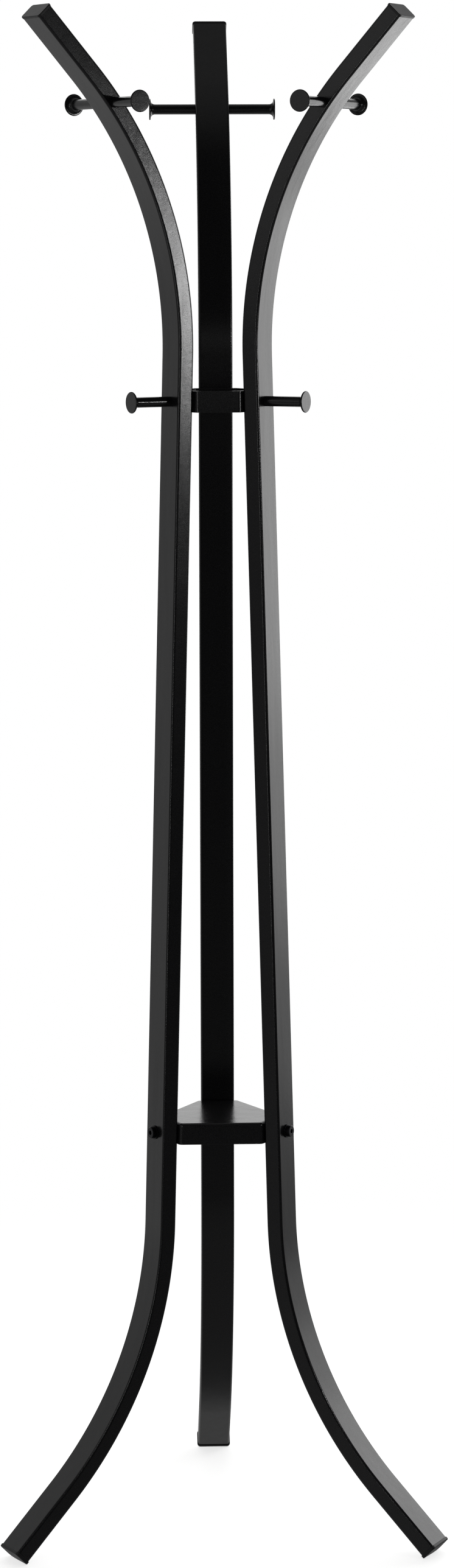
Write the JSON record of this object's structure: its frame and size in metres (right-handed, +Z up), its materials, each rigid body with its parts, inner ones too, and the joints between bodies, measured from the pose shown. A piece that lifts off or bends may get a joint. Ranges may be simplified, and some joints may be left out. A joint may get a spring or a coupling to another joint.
{
  "type": "standing coat rack",
  "caption": "Free-standing coat rack of bent rectangular tubes tied at a narrow waist by a hexagonal ring and tray, with round disc-ended pegs near the top and at the ring.",
  "frame": {"origin": "on the rack's vertical axis, at floor level", "axes": "+Z up; +Y towards the rear leg; +X to the right as seen from between the two front legs"},
  "size_m": [0.5288, 0.459, 1.8],
  "materials": {
    "powder_coated_steel": "fine-textured satin black powder coat",
    "moulded_plastic": "fine-grained black moulding",
    "black_oxide_steel": "satin black screws",
    "zinc_plated_steel": "bright zinc plate"
  },
  "bodies": {
    "root": {"leg_front_left": "powder_coated_steel", "top_cap_front_left": "moulded_plastic", "foot_cap_front_left": "moulded_plastic", "top_stud_front_left": "zinc_plated_steel", "ring_stud_front_left": "zinc_plated_steel", "ring_nut_front_left": "zinc_plated_steel", "tray_nut_front_left": "zinc_plated_steel", "ring_peg_front_left": "powder_coated_steel", "tray_screw_front_left": "black_oxide_steel", "tray_washer_front_left": "black_oxide_steel", "top_peg_front_left_right": "powder_coated_steel", "top_peg_front_left_left": "powder_coated_steel", "leg_front_right": "powder_coated_steel", "top_cap_front_right": "moulded_plastic", "foot_cap_front_right": "moulded_plastic", "top_stud_front_right": "zinc_plated_steel", "ring_stud_front_right": "zinc_plated_steel", "ring_nut_front_right": "zinc_plated_steel", "tray_nut_front_right": "zinc_plated_steel", "ring_peg_front_right": "powder_coated_steel", "tray_screw_front_right": "black_oxide_steel", "tray_washer_front_right": "black_oxide_steel", "top_peg_front_right_right": "powder_coated_steel", "top_peg_front_right_left": "powder_coated_steel", "leg_rear": "powder_coated_steel", "top_cap_rear": "moulded_plastic", "foot_cap_rear": "moulded_plastic", "top_stud_rear": "zinc_plated_steel", "ring_stud_rear": "zinc_plated_steel", "ring_nut_rear": "zinc_plated_steel", "tray_nut_rear": "zinc_plated_steel", "ring_peg_rear": "powder_coated_steel", "tray_screw_rear": "black_oxide_steel", "tray_washer_rear": "black_oxide_steel", "top_peg_rear_right": "powder_coated_steel", "top_peg_rear_left": "powder_coated_steel", "ring": "powder_coated_steel", "tray": "powder_coated_steel"}
  },
  "joints": []
}
